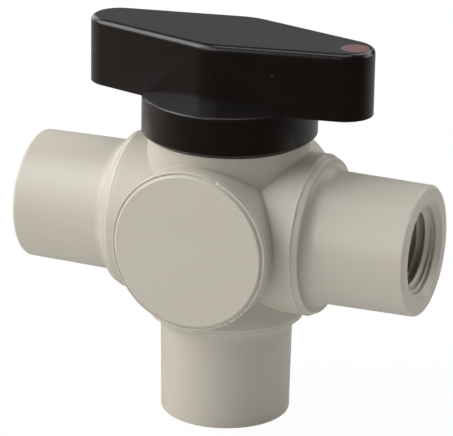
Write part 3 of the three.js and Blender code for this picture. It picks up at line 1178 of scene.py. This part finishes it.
@dataclass
class SeatSet:
    """Seat ring with its hollow spherical face against the ball, and the rubber ring behind it."""

    layout: Layout
    way: Way
    inner: float = 4.3
    contact: float = 5.2
    outer: float = 6.6
    back: float = 9.4
    clearance: float = 0.1
    seal_radius: float = 5.5
    seal_height: float = 10.43
    seal_cord: float = 0.65

    def build(self) -> list[bpy.types.Object]:
        """Makes the seat and its seal. The seat's face follows sqrt(sphere^2 - radius^2).

        Returns:
            Both pieces.
        """
        sphere = self.layout.ball_radius + self.clearance
        face_radius = np.linspace(self.contact, self.inner, 7)
        face = np.column_stack([face_radius, np.sqrt(sphere ** 2 - face_radius ** 2)])
        shoulder = float(face[0, 1])
        rest = rounded([Corner(self.inner, self.back), Corner(self.outer, self.back, 0.15),
                        Corner(self.outer, shoulder, 0.15), Corner(self.contact, shoulder)])
        section = np.vstack([face, rest[:-1]])[::-1]
        label = self.way.label
        seat = build(f"seat_{label}", self.layout, self.way.lay(turned(section, 96)), ring=True)
        cord = cord_section(self.seal_radius, self.seal_height, self.seal_cord)
        seal = build(f"seat_o_ring_{label}", self.layout, self.way.lay(turned(cord, 96)), ring=True)
        return [Finish.SEAT.on("housing").put_on(seat, f"seat_ring_{label}"),
                Finish.SEAL.on("housing").put_on(seal, f"seat_seal_{label}")]


# ---- moving parts --------------------------------------------------------------------------------------


@dataclass
class Spindle:
    """Stem with its drive blade, collar, seals and flatted head, and the thrust washer over the collar."""

    layout: Layout
    radius: float = 3.7
    collar: float = 4.8
    collar_low: float = 8.8
    collar_high: float = 10.4
    seal_heights: tuple[float, float] = (13.2, 15.8)
    seal_cord: float = 0.6
    seal_sink: float = 0.45
    groove_half: float = 0.75
    groove_root: float = 2.5
    head_low: float = 17.9
    head_top: float = 25.6
    head_flat: float = 2.5
    cutter: tuple[float, float] = (8.0, 4.0)
    overlap: float = 0.4
    blade: tuple[float, float, float] = (4.1, 1.3, 6.5)
    washer: tuple[float, float, float, float] = (3.95, 4.9, 10.6, 11.2)

    def shaft(self) -> bpy.types.Object:
        """Turned shaft with the blade joined below and the two flats cut at its head.

        Returns:
            The undressed object.
        """
        half_long, half_wide, low = self.blade
        corners = [Corner(0, self.collar_low), Corner(self.collar, self.collar_low, 0.2),
                   Corner(self.collar, self.collar_high, 0.2), Corner(self.radius, self.collar_high, 0.1)]
        for height in self.seal_heights:
            under, over = height - self.groove_half, height + self.groove_half
            corners += [Corner(self.radius, under, 0.08), Corner(self.groove_root, under, 0.1),
                        Corner(self.groove_root, over, 0.1), Corner(self.radius, over, 0.08)]
        corners += [Corner(self.radius, self.head_top, 0.5), Corner(0, self.head_top)]
        stem = build("drive_stem", self.layout, turned(rounded(corners), 96))
        blade = build("blade", self.layout,
                      prism(rectangle(half_long, half_wide), low, self.collar_low + self.overlap))
        beside = np.array([0, self.head_flat + self.cutter[1], 0])
        block = prism(rectangle(*self.cutter), self.head_low, self.head_top + 1)
        flats = [build("flat", self.layout, side * beside + block) for side in (1, -1)]
        carve(stem, [blade], flats)
        return stem

    def build(self) -> list[bpy.types.Object]:
        """Makes the stem, its two seals and the washer.

        Returns:
            The four pieces.
        """
        turn = Matrix.Rotation(self.layout.rest_angle, 4, "Z")
        stem = self.shaft()
        stem.data.transform(turn)
        pieces = [Finish.BALL.on("spindle").put_on(stem, "stem")]
        for height, label in zip(self.seal_heights, ("lower", "upper")):
            cord = cord_section(self.radius - self.seal_sink, height, self.seal_cord)
            seal = build(f"stem_o_ring_{label}", self.layout, turned(cord, 96), ring=True)
            pieces.append(Finish.SEAL.on("spindle").put_on(seal, f"stem_seal_{label}"))
        inner, outer, low, high = self.washer
        section = rounded([Corner(outer, low, 0.08), Corner(outer, high, 0.08), Corner(inner, high, 0.08),
                           Corner(inner, low, 0.08)], ring=True)
        washer = build("stem_washer", self.layout, turned(section, 96), ring=True)
        return pieces + [Finish.SEAT.on("housing").put_on(washer, "thrust_washer")]


@dataclass
class FlowBall:
    """Ball with an L-shaped way, from below to one side, and the slot that the stem's blade sits in."""

    layout: Layout
    bore: float = 4.0
    slot_floor: float = 6.2
    slot_width: float = 3.2
    rows: int = 65
    columns: int = 128
    way_columns: int = 64
    clear: float = 2.0

    def build(self) -> list[bpy.types.Object]:
        """Cuts the ways and the slot from a sphere. Row heights follow the sine of the latitude.

        Returns:
            The one piece.
        """
        latitude = np.linspace(-math.pi / 2, math.pi / 2, self.rows)
        around = np.column_stack([np.cos(latitude), np.sin(latitude)])
        radius = self.layout.ball_radius
        past = radius + self.clear
        ball = build("flow_ball", self.layout, turned(around * radius, self.columns))
        way = prism(circle(self.bore, self.way_columns), 0, past)
        elbow = build("elbow", self.layout, turned(around * self.bore, self.way_columns))
        cuts = [build("way", self.layout, Way.RIGHT.lay(way)), build("way", self.layout, Way.BOTTOM.lay(way)),
                elbow, build("slot", self.layout,
                             prism(rectangle(past, self.slot_width / 2), self.slot_floor, past))]
        carve(ball, [], cuts)
        ball.data.transform(Matrix.Rotation(self.layout.rest_angle, 4, "Z"))
        return [Finish.BALL.on("flow_ball").put_on(ball, "ball")]


@dataclass
class Handle:
    """Lozenge grip and round skirt in one moulding, hollow below, with a coloured dot over one end."""

    layout: Layout
    half_length: float = 23.2
    half_width: float = 8.85
    end_radius: float = 4.5
    side_radius: float = 8.6
    arc_points: int = 36
    cap_inset: float = 3.0
    bottom: float = 20.05
    skirt_top: float = 20.65
    top_fillet: float = 0.9
    skirt_fillet: float = 0.35
    skirt_bevel: float = 0.35
    cavity: float = 10.1
    cavity_wide: float = 11.6
    cavity_top: float = 18.9
    stop_half_angle: float = math.radians(76.5)
    stem_socket: tuple[float, float, float] = (4.0, 2.8, 26.0)
    core: tuple[float, float, float, float, float] = (15.0, 20.2, 0.7, 1.7, 27.4)
    dot_at: float = 20.3
    dot_radius: float = 2.14
    dot_depth: float = 1.9
    dot_clearance: tuple[float, float] = (0.04, 0.2)
    cavity_points: tuple[int, int] = (60, 90)
    socket_offset: float = 1e-3
    crisp: float = 25

    def side_normal(self) -> float:
        """Angle of the straight side's normal, from the two corner circles that the side touches.

        Returns:
            The angle in radians.
        """
        along = self.half_length - self.end_radius
        across = self.half_width - self.side_radius
        lean = math.acos((self.end_radius - self.side_radius) / math.hypot(along, across))
        return math.atan2(across, -along) - lean

    def outline(self, inset: float) -> np.ndarray:
        """Lozenge of four tangent arcs, drawn in by an inset that shortens every radius.

        Args:
            inset: how far inside the full outline it runs.

        Returns:
            Rows of (x, y), counter-clockwise.
        """
        side = self.side_normal()
        end_x, side_y = self.half_length - self.end_radius, self.half_width - self.side_radius
        centres = np.array([[end_x, 0], [0, side_y], [-end_x, 0], [0, -side_y]])
        radii = np.array([self.end_radius, self.side_radius, self.end_radius, self.side_radius]) - inset
        starts = np.array([-side, side, math.pi - side, math.pi + side])
        ends = np.array([side, math.pi - side, math.pi + side, 2 * math.pi - side])
        at = starts[:, None] + (ends - starts)[:, None] * np.linspace(0, 1, self.arc_points)
        spokes = np.stack([np.cos(at), np.sin(at)], axis=-1) * radii[:, None, None]
        return (centres[:, None] + spokes).reshape(-1, 2)

    def grip(self) -> np.ndarray:
        """Grip: the outline carried up a wall and drawn in over the rounded top edge, closed at both ends.

        Returns:
            Grid of points.
        """
        top = self.layout.grip_top
        section = rounded([Corner(self.cap_inset, self.bottom), Corner(0, self.bottom, 0.08),
                           Corner(0, top, self.top_fillet), Corner(self.cap_inset, top)], steps=8)
        rings = [np.column_stack([self.outline(inset), np.full(4 * self.arc_points, height)])
                 for inset, height in section]
        foot, head = np.zeros_like(rings[0]), np.zeros_like(rings[0])
        foot[:, 2], head[:, 2] = self.bottom, top
        return np.stack([foot, *rings, head])

    def skirt(self) -> np.ndarray:
        """Round skirt, closed on the axis, with a bevelled foot and a rounded rim.

        Returns:
            Grid of points.
        """
        radius, low = self.layout.skirt_radius, self.layout.skirt_bottom
        corners = [Corner(0, low), Corner(radius - self.skirt_bevel, low, 0.1),
                   Corner(radius, low + self.skirt_bevel, 0.1),
                   Corner(radius, self.skirt_top, self.skirt_fillet), Corner(0, self.skirt_top)]
        return turned(rounded(corners))

    def cavity_outline(self) -> np.ndarray:
        """Outline of the skirt's hollow: narrow over the stop rib, wide past it.

        Returns:
            Rows of (x, y), counter-clockwise.
        """
        rib = np.linspace(-self.stop_half_angle, self.stop_half_angle, self.cavity_points[0])
        past = np.linspace(self.stop_half_angle, TURN - self.stop_half_angle, self.cavity_points[1])
        at = np.concatenate([rib, past])
        radius = np.concatenate([np.full_like(rib, self.cavity), np.full_like(past, self.cavity_wide)])
        return np.column_stack([radius * np.cos(at), radius * np.sin(at)])

    def wing_core(self, side_x: int, side_y: int) -> np.ndarray:
        """One pocket under a wing: it follows the side wall and leaves a rib along the middle.

        Args:
            side_x: 1 for the wing over the right-hand port, -1 for the other.
            side_y: 1 for the rear side of the rib, -1 for the front.

        Returns:
            Grid of points.
        """
        near, far, rib, wall, top = self.core
        side = self.side_normal()
        offset = (self.half_length - self.end_radius) * math.cos(side) + self.end_radius - wall
        edge = [(offset - x * math.cos(side)) / math.sin(side) for x in (far, near)]
        corners = np.array([[near, rib], [far, rib], [far, edge[0]], [near, edge[1]]]) * [side_x, side_y]
        return prism(corners if side_x * side_y > 0 else corners[::-1], self.bottom - 1, top)

    def socket_outline(self) -> np.ndarray:
        """Round outline with two flats: the radius is the smaller of the circle's and flat / |sin|.

        Returns:
            Rows of (x, y), counter-clockwise.
        """
        radius, flat, _ = self.stem_socket
        at = angles(96) + self.socket_offset
        reach = np.minimum(radius, flat / np.abs(np.sin(at)))
        return np.column_stack([reach * np.cos(at), reach * np.sin(at)])

    def build(self) -> list[bpy.types.Object]:
        """Makes the handle and the dot in it.

        Returns:
            Both pieces.
        """
        top = self.layout.grip_top
        turn = Matrix.Rotation(self.layout.rest_angle, 4, "Z")
        handle = build("grip_handle", self.layout, self.grip())
        skirt = build("skirt", self.layout, self.skirt())
        low = self.layout.skirt_bottom - 1
        aside, under = self.dot_clearance
        dot_hole = circle(self.dot_radius + aside, 96, self.dot_at)
        shapes = [prism(self.cavity_outline(), low, self.cavity_top, np.zeros(2)),
                  prism(dot_hole, top - self.dot_depth - under, top + 1),
                  prism(self.socket_outline(), self.cavity_top - 1, self.stem_socket[2]),
                  *[self.wing_core(x, y) for x in (1, -1) for y in (1, -1)]]
        cuts = [build("cut", self.layout, shape) for shape in shapes]
        carve(handle, [skirt], cuts)
        handle.data.transform(turn)
        corners = [Corner(0, top - self.dot_depth), Corner(self.dot_radius, top - self.dot_depth, 0.1),
                   Corner(self.dot_radius, top, 0.05), Corner(0, top)]
        points = turned(rounded(corners), 96) + np.array([self.dot_at, 0, 0])
        dot = build("pressed_dot", self.layout, points)
        dot.data.transform(turn)
        return [Finish.HANDLE.on("spindle").put_on(handle, "handle", sharp=self.crisp),
                Finish.DOT.on("spindle").put_on(dot, "indicator_dot")]


# ---- studio --------------------------------------------------------------------------------------------


def direction(bearing: float, height: float) -> Vector:
    """Unit vector at a bearing, which is 0 in front, on -Y, and 90 on the right, and at a height angle.

    Args:
        bearing: the bearing in degrees.
        height: the angle above the level, in degrees.

    Returns:
        The vector.
    """
    turn, lift = math.radians(bearing), math.radians(height)
    return Vector((math.sin(turn) * math.cos(lift), -math.cos(turn) * math.cos(lift), math.sin(lift)))


@dataclass(frozen=True)
class SoftBox:
    """Square lamp aimed at the valve, placed by its bearing, height angle and distance."""

    name: str
    bearing: float
    height: float
    distance: float
    width: float
    length: float
    power: float

    def hang(self, target: Vector) -> None:
        """Puts the lamp up.

        Args:
            target: the point it is aimed at.
        """
        lamp = bpy.data.lights.new(self.name, "AREA")
        lamp.shape, lamp.size, lamp.size_y = "RECTANGLE", self.width, self.length
        lamp.energy = self.power
        obj = bpy.data.objects.new(self.name, lamp)
        away = direction(self.bearing, self.height)
        obj.location = target + away * self.distance
        obj.rotation_euler = away.to_track_quat("Z", "Y").to_euler()
        bpy.context.scene.collection.objects.link(obj)


@dataclass(frozen=True)
class Viewpoint:
    """Camera: where it stands about the valve's centre, and its pan, tilt and roll in degrees."""

    bearing: float = 22.594
    height: float = 19.36
    distance: float = 0.49886
    pan: float = 0.0295
    tilt: float = 0.047
    roll: float = 0.958
    lens: float = 258.05
    sensor: float = 36.0
    clip_start: float = 0.01

    def stand(self, target: Vector) -> None:
        """Puts the camera up and makes it the scene's.

        Its three axes start from the line of sight and the vertical. The pan turns them about the camera's
        own upward axis, the tilt about its sideways axis, and the roll about the line of sight.

        Args:
            target: the point it stands about.
        """
        back = direction(self.bearing, self.height)
        right = Vector((0, 0, 1)).cross(back).normalized()
        up = back.cross(right)
        pan = Matrix.Rotation(math.radians(self.pan), 3, up)
        turn = pan @ Matrix.Rotation(math.radians(self.tilt), 3, right)
        axes = [turn @ axis for axis in (right, up, back)]
        roll = Matrix.Rotation(math.radians(self.roll), 3, axes[2])
        columns = Matrix([roll @ axis for axis in axes]).transposed()
        data = bpy.data.cameras.new("camera")
        data.lens, data.sensor_width, data.clip_start = self.lens, self.sensor, self.clip_start
        camera = bpy.data.objects.new("camera", data)
        camera.matrix_world = Matrix.Translation(target + back * self.distance) @ columns.to_4x4()
        bpy.context.scene.collection.objects.link(camera)
        bpy.context.scene.camera = camera


@dataclass
class Studio:
    """Pale floor and surroundings, soft lamps and the camera."""

    layout: Layout
    floor_half: float = 6.0
    floor_level: float = -0.00002
    floor_matt: Colour = (0.84, 0.84, 0.84)
    floor_glow: float = 0.96
    port_radius: float = 0.0098
    port_glow: Colour = (0.8, 0.78, 0.74)
    seen: float = 1.0
    ambient: float = 0.015
    mirrored_sky: Colour = (0.03, 0.03, 0.033)
    mirrored_front: Colour = (0.08, 0.066, 0.058)
    mirrored_back: Colour = (0.46, 0.44, 0.43)
    mirrored_slant: float = 0.5
    mirrored_span: tuple[float, float] = (-0.13, 0.08)
    lamps: tuple[SoftBox, ...] = (
        SoftBox("key", -66, 38, 0.9, 0.7, 0.7, 7.6),
        SoftBox("front", -28, 23, 0.9, 0.85, 0.72, 3.8),
        SoftBox("left_rim", -120, 20, 0.9, 0.6, 0.6, 2.5),
        SoftBox("overhead", 0, 85, 0.9, 0.5, 0.5, 1.9),
        SoftBox("right_rim", 125, 20, 0.9, 0.6, 0.5, 2.6),
        SoftBox("behind", 160, 45, 0.9, 0.6, 0.6, 2.9),
        SoftBox("backdrop", -157, 20, 0.9, 1.0, 0.5, 0.41),
    )

    def surroundings(self) -> None:
        """World that is white to the eye, dimmer as a light, and dimmer still where it is mirrored."""
        world = bpy.data.worlds.new("studio")
        world.use_nodes = True
        bpy.context.scene.world = world
        wires = Wires(world.node_tree)
        path = wires.add("ShaderNodeLightPath")
        dim = paint((self.ambient,) * 3)
        unseen = wires.mix(path.outputs["Is Glossy Ray"], dim, paint(self.mirrored_sky))
        colour = wires.mix(path.outputs["Is Camera Ray"], unseen, paint((self.seen,) * 3))
        light = wires.add("ShaderNodeBackground", {"Color": colour, "Strength": 1.0})
        wires.add("ShaderNodeOutputWorld", {"Surface": light.outputs["Background"]})

    def floor(self) -> None:
        """Level floor just under the bottom port, as pale as the surroundings, and clear from below.

        Where it is mirrored it is dark in front and brightens to the left and behind, as y - x / 2 grows. A
        round patch that the bottom port covers glows, so that the port's face is not black from below.
        """
        half, level = self.floor_half, self.floor_level
        mesh = bpy.data.meshes.new("floor")
        corners = [(-half, -half, level), (half, -half, level), (half, half, level), (-half, half, level)]
        mesh.from_pydata(corners, [], [(0, 1, 2, 3)])
        material = bpy.data.materials.new("pale_floor")
        material.use_nodes = True
        wires = Wires(material.node_tree)
        path = wires.add("ShaderNodeLightPath")
        matt = wires.add("ShaderNodeBsdfDiffuse", {"Color": paint(self.floor_matt)})
        glow = wires.add("ShaderNodeEmission", {"Color": paint((1.0, 1.0, 1.0)), "Strength": 1.0})
        place = wires.add("ShaderNodeTexCoord")
        away = wires.add("ShaderNodeVectorMath", {"Vector": place.outputs["Object"]}, operation="LENGTH")
        under_port = wires.maths("LESS_THAN", away.outputs["Value"], self.port_radius)
        lift = wires.add("ShaderNodeEmission", {"Color": paint(self.port_glow), "Strength": under_port})
        below = wires.add("ShaderNodeAddShader")
        wires.feed(below.inputs[0], matt.outputs["BSDF"])
        wires.feed(below.inputs[1], lift.outputs["Emission"])
        apart = wires.add("ShaderNodeSeparateXYZ", {"Vector": place.outputs["Object"]})
        aside = wires.maths("MULTIPLY", apart.outputs["X"], self.mirrored_slant)
        along = wires.maths("SUBTRACT", apart.outputs["Y"], aside)
        dark_at, light_at = self.mirrored_span
        back = wires.add("ShaderNodeMapRange", {"Value": along, "From Min": dark_at, "From Max": light_at},
                         interpolation_type="SMOOTHSTEP")
        shades = wires.mix(back.outputs["Result"], paint(self.mirrored_front), paint(self.mirrored_back))
        dim = wires.add("ShaderNodeEmission", {"Color": shades, "Strength": 1.0})
        seen = wires.blend(self.floor_glow, matt, glow)
        lit = wires.blend(path.outputs["Is Camera Ray"], below, seen)
        mirrored = wires.blend(path.outputs["Is Glossy Ray"], lit, dim)
        clear = wires.add("ShaderNodeBsdfTransparent")
        under = wires.add("ShaderNodeNewGeometry")
        sided = wires.blend(under.outputs["Backfacing"], mirrored, clear)
        wires.add("ShaderNodeOutputMaterial", {"Surface": sided.outputs["Shader"]})
        mesh.materials.append(material)
        obj = bpy.data.objects.new("floor", mesh)
        bpy.context.scene.collection.objects.link(obj)

    def set_up(self) -> None:
        """Puts everything in place and shows colours as they are, with no film curve."""
        scene = bpy.context.scene
        scene.view_settings.view_transform = "Standard"
        scene.view_settings.look = "None"
        scene.cycles.use_denoising = True
        self.surroundings()
        self.floor()
        for lamp in self.lamps:
            lamp.hang(self.layout.centre)
        Viewpoint().stand(self.layout.centre)


def main() -> None:
    """Builds the studio and every sub-assembly in order, and logs how many pieces there are."""
    logging.basicConfig(level=logging.INFO, format="%(name)s: %(message)s")
    layout = Layout.from_cad()
    Studio(layout).set_up()
    pieces = ValveBody(layout).build()
    for seed, way in enumerate((Way.RIGHT, Way.LEFT, Way.BOTTOM)):
        pieces += EndSocket(layout, way).build()
        pieces += WeldSeam(layout, way, seed=SOCKET_SEAM_SEED + 2 * seed, spread=0.34).build()
    spots = {Way.FRONT: ((math.radians(-52), 0.22), (math.radians(70), 0.12)),
             Way.REAR: ((math.radians(160), 0.2), (math.radians(-115), 0.15))}
    for seed, (way, torn) in enumerate(spots.items()):
        pieces += ClosingPlug(layout, way, seed=PLUG_LIP_SEED + 2 * seed, spots=torn).build()
        pieces += WeldSeam(layout, way, seed=PLUG_SEAM_SEED + 2 * seed, spread=0.26).build()
    for way in (Way.RIGHT, Way.LEFT, Way.BOTTOM, Way.FRONT, Way.REAR):
        pieces += SeatSet(layout, way).build()
    pieces += FlowBall(layout).build()
    pieces += Spindle(layout).build()
    pieces += Handle(layout).build()
    LOG.info("%d pieces", len(pieces))


if __name__ == "__main__":
    main()
